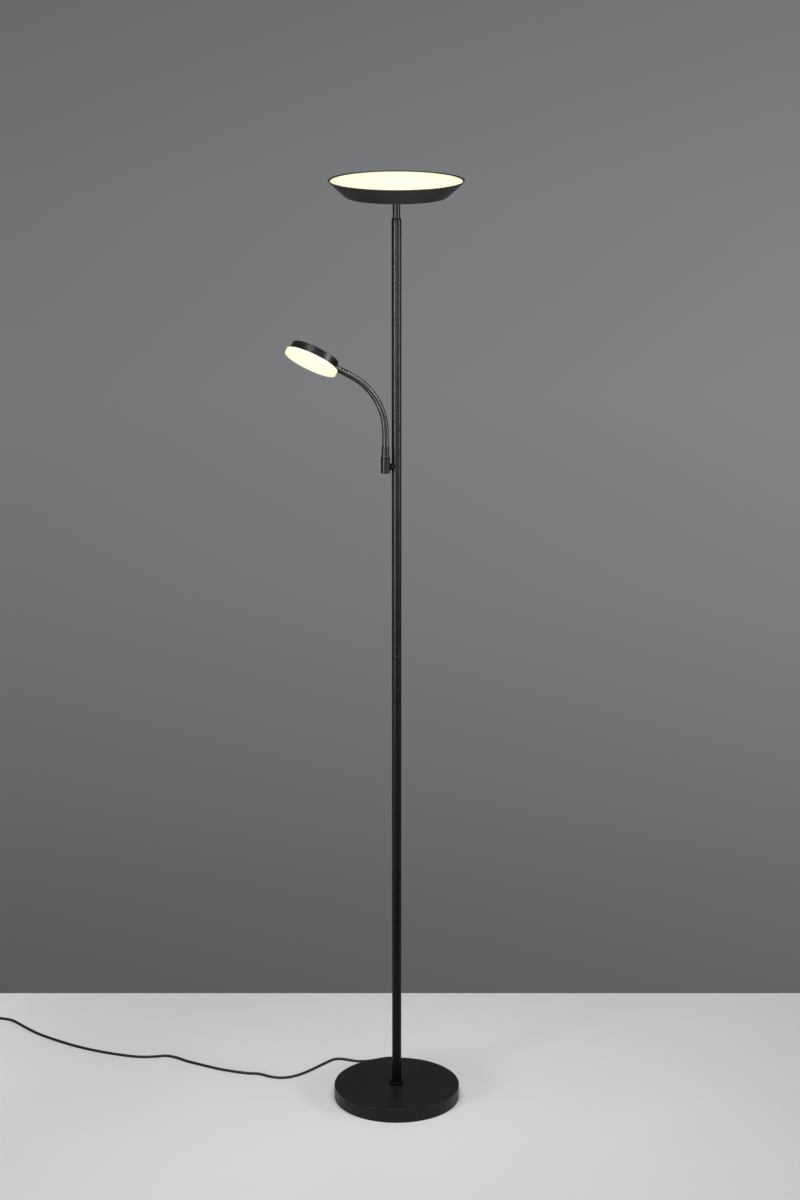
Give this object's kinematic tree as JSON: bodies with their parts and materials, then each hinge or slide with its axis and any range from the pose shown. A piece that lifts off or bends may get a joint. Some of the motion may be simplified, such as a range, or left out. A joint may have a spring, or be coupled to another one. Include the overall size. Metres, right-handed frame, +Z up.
{
  "type": "torchiere floor lamp",
  "caption": "Uplighting bowl lamp on a slim pole with a round base, a flexible reading arm, turning dimmer rings and a mains lead.",
  "frame": {"origin": "centre of the base's underside, on the pole's axis, at floor level", "axes": "+Z up the pole; -Y to the front, where the reading head's face turns; the reading arm is on the -X side"},
  "size_m": [1.057, 0.5232, 1.8],
  "materials": {
    "powder_black": "fine matt texture",
    "satin_black": "satin",
    "hose_black": "satin, finely ribbed",
    "cast_iron": "rough",
    "zinc_steel": "plated",
    "screw_steel": "plated",
    "bare_aluminium": "mill",
    "board_green": "solder mask",
    "board_white": "solder mask",
    "driver_white": "moulded",
    "lead_white": "smooth",
    "opal": "opal, lit",
    "foam_black": "foam",
    "cord_black": "soft matt vinyl",
    "tie_black": "smooth",
    "pin_brass": "plated"
  },
  "bodies": {
    "stand": {"base_pad": "foam_black", "base_weight": "cast_iron", "base_cover": "powder_black", "foot_washer": "zinc_steel", "foot_nut": "zinc_steel", "foot_nipple": "zinc_steel", "foot_insert": "zinc_steel", "pole_collar": "satin_black", "pole_lower": "satin_black", "pole_middle": "satin_black", "pole_upper": "satin_black", "pole_top": "satin_black", "joint_insert_lower": "zinc_steel", "joint_insert_upper": "zinc_steel", "dimmer_core": "bare_aluminium", "dimmer_board": "board_green", "supply_lead": "lead_white", "neck_bush": "satin_black", "bowl_neck": "satin_black", "bowl_nipple": "zinc_steel", "bowl": "powder_black", "bowl_washer": "zinc_steel", "bowl_nut": "zinc_steel", "bowl_driver": "driver_white", "reader_driver": "driver_white", "bowl_lead": "lead_white", "led_plate": "bare_aluminium", "plate_screw_1": "screw_steel", "plate_screw_2": "screw_steel", "plate_screw_3": "screw_steel", "bowl_led_board": "board_white", "bowl_diffuser": "opal", "arm_stub": "satin_black", "arm_nut": "zinc_steel", "arm_sleeve": "satin_black", "arm_holder": "satin_black", "holder_ferrule": "satin_black", "gooseneck_0": "hose_black", "strain_relief": "cord_black", "mains_cord": "cord_black", "cord_coil": "cord_black", "coil_tie": "tie_black", "plug_body": "cord_black", "plug_pin_1": "pin_brass", "plug_pin_2": "pin_brass"},
    "ring_reader": {"dimmer_ring_reader": "satin_black"},
    "ring_bowl": {"dimmer_ring_bowl": "satin_black"},
    "hose_1": {"gooseneck_1": "hose_black"},
    "hose_2": {"gooseneck_2": "hose_black"},
    "hose_3": {"gooseneck_3": "hose_black"},
    "hose_4": {"gooseneck_4": "hose_black"},
    "hose_5": {"gooseneck_5": "hose_black"},
    "hose_6": {"gooseneck_6": "hose_black"},
    "hose_7": {"gooseneck_7": "hose_black"},
    "hose_8": {"gooseneck_8": "hose_black"},
    "reader": {"reader_casing": "satin_black", "reader_led_board": "board_white", "reader_diffuser": "opal"}
  },
  "joints": [
    {"name": "reader_dimmer", "type": "hinge", "parent": "stand", "child": "ring_reader", "pos_m": [0, 0, 1.348], "axis": [0, 0, 1], "range_deg": [-270, 0]},
    {"name": "bowl_dimmer", "type": "hinge", "parent": "stand", "child": "ring_bowl", "pos_m": [0, 0, 1.3666], "axis": [0, 0, 1], "range_deg": [-270, 0]},
    {"name": "neck_bend_1", "type": "hinge", "parent": "stand", "child": "hose_1", "pos_m": [-0.02048, -0.01434, 1.32191], "axis": [0.1495, -0.9888, 0], "range_deg": [-10, 15]},
    {"name": "neck_sway_1", "type": "hinge", "parent": "hose_1", "child": "hose_2", "pos_m": [-0.02079, -0.01439, 1.34572], "axis": [0.9862, 0.1492, 0.0714], "range_deg": [-10, 10]},
    {"name": "neck_bend_2", "type": "hinge", "parent": "hose_2", "child": "hose_3", "pos_m": [-0.02472, -0.01498, 1.36917], "axis": [0.1495, -0.9888, 0], "range_deg": [-10, 15]},
    {"name": "neck_sway_2", "type": "hinge", "parent": "hose_3", "child": "hose_4", "pos_m": [-0.03301, -0.01624, 1.39143], "axis": [0.8873, 0.1342, 0.4412], "range_deg": [-10, 10]},
    {"name": "neck_bend_3", "type": "hinge", "parent": "hose_4", "child": "hose_5", "pos_m": [-0.04537, -0.0181, 1.41166], "axis": [0.1495, -0.9888, 0], "range_deg": [-10, 15]},
    {"name": "neck_sway_3", "type": "hinge", "parent": "hose_5", "child": "hose_6", "pos_m": [-0.06133, -0.02052, 1.42913], "axis": [0.6582, 0.0996, 0.7462], "range_deg": [-10, 10]},
    {"name": "neck_bend_4", "type": "hinge", "parent": "hose_6", "child": "hose_7", "pos_m": [-0.0803, -0.02339, 1.44318], "axis": [0.1495, -0.9888, 0], "range_deg": [-10, 15]},
    {"name": "neck_sway_4", "type": "hinge", "parent": "hose_7", "child": "hose_8", "pos_m": [-0.10074, -0.02648, 1.45503], "axis": [0.4914, 0.0743, 0.8678], "range_deg": [-10, 10]},
    {"name": "reader_turn", "type": "hinge", "parent": "hose_8", "child": "reader", "pos_m": [-0.11095, -0.02802, 1.46095], "axis": [-0.858, -0.1298, 0.497], "range_deg": [-45, 45]}
  ],
  "couplings": [
    {"joint": "neck_bend_2", "follows": "neck_bend_1", "ratio": 1},
    {"joint": "neck_sway_2", "follows": "neck_sway_1", "ratio": 1},
    {"joint": "neck_bend_3", "follows": "neck_bend_1", "ratio": 1},
    {"joint": "neck_sway_3", "follows": "neck_sway_1", "ratio": 1},
    {"joint": "neck_bend_4", "follows": "neck_bend_1", "ratio": 1},
    {"joint": "neck_sway_4", "follows": "neck_sway_1", "ratio": 1}
  ]
}
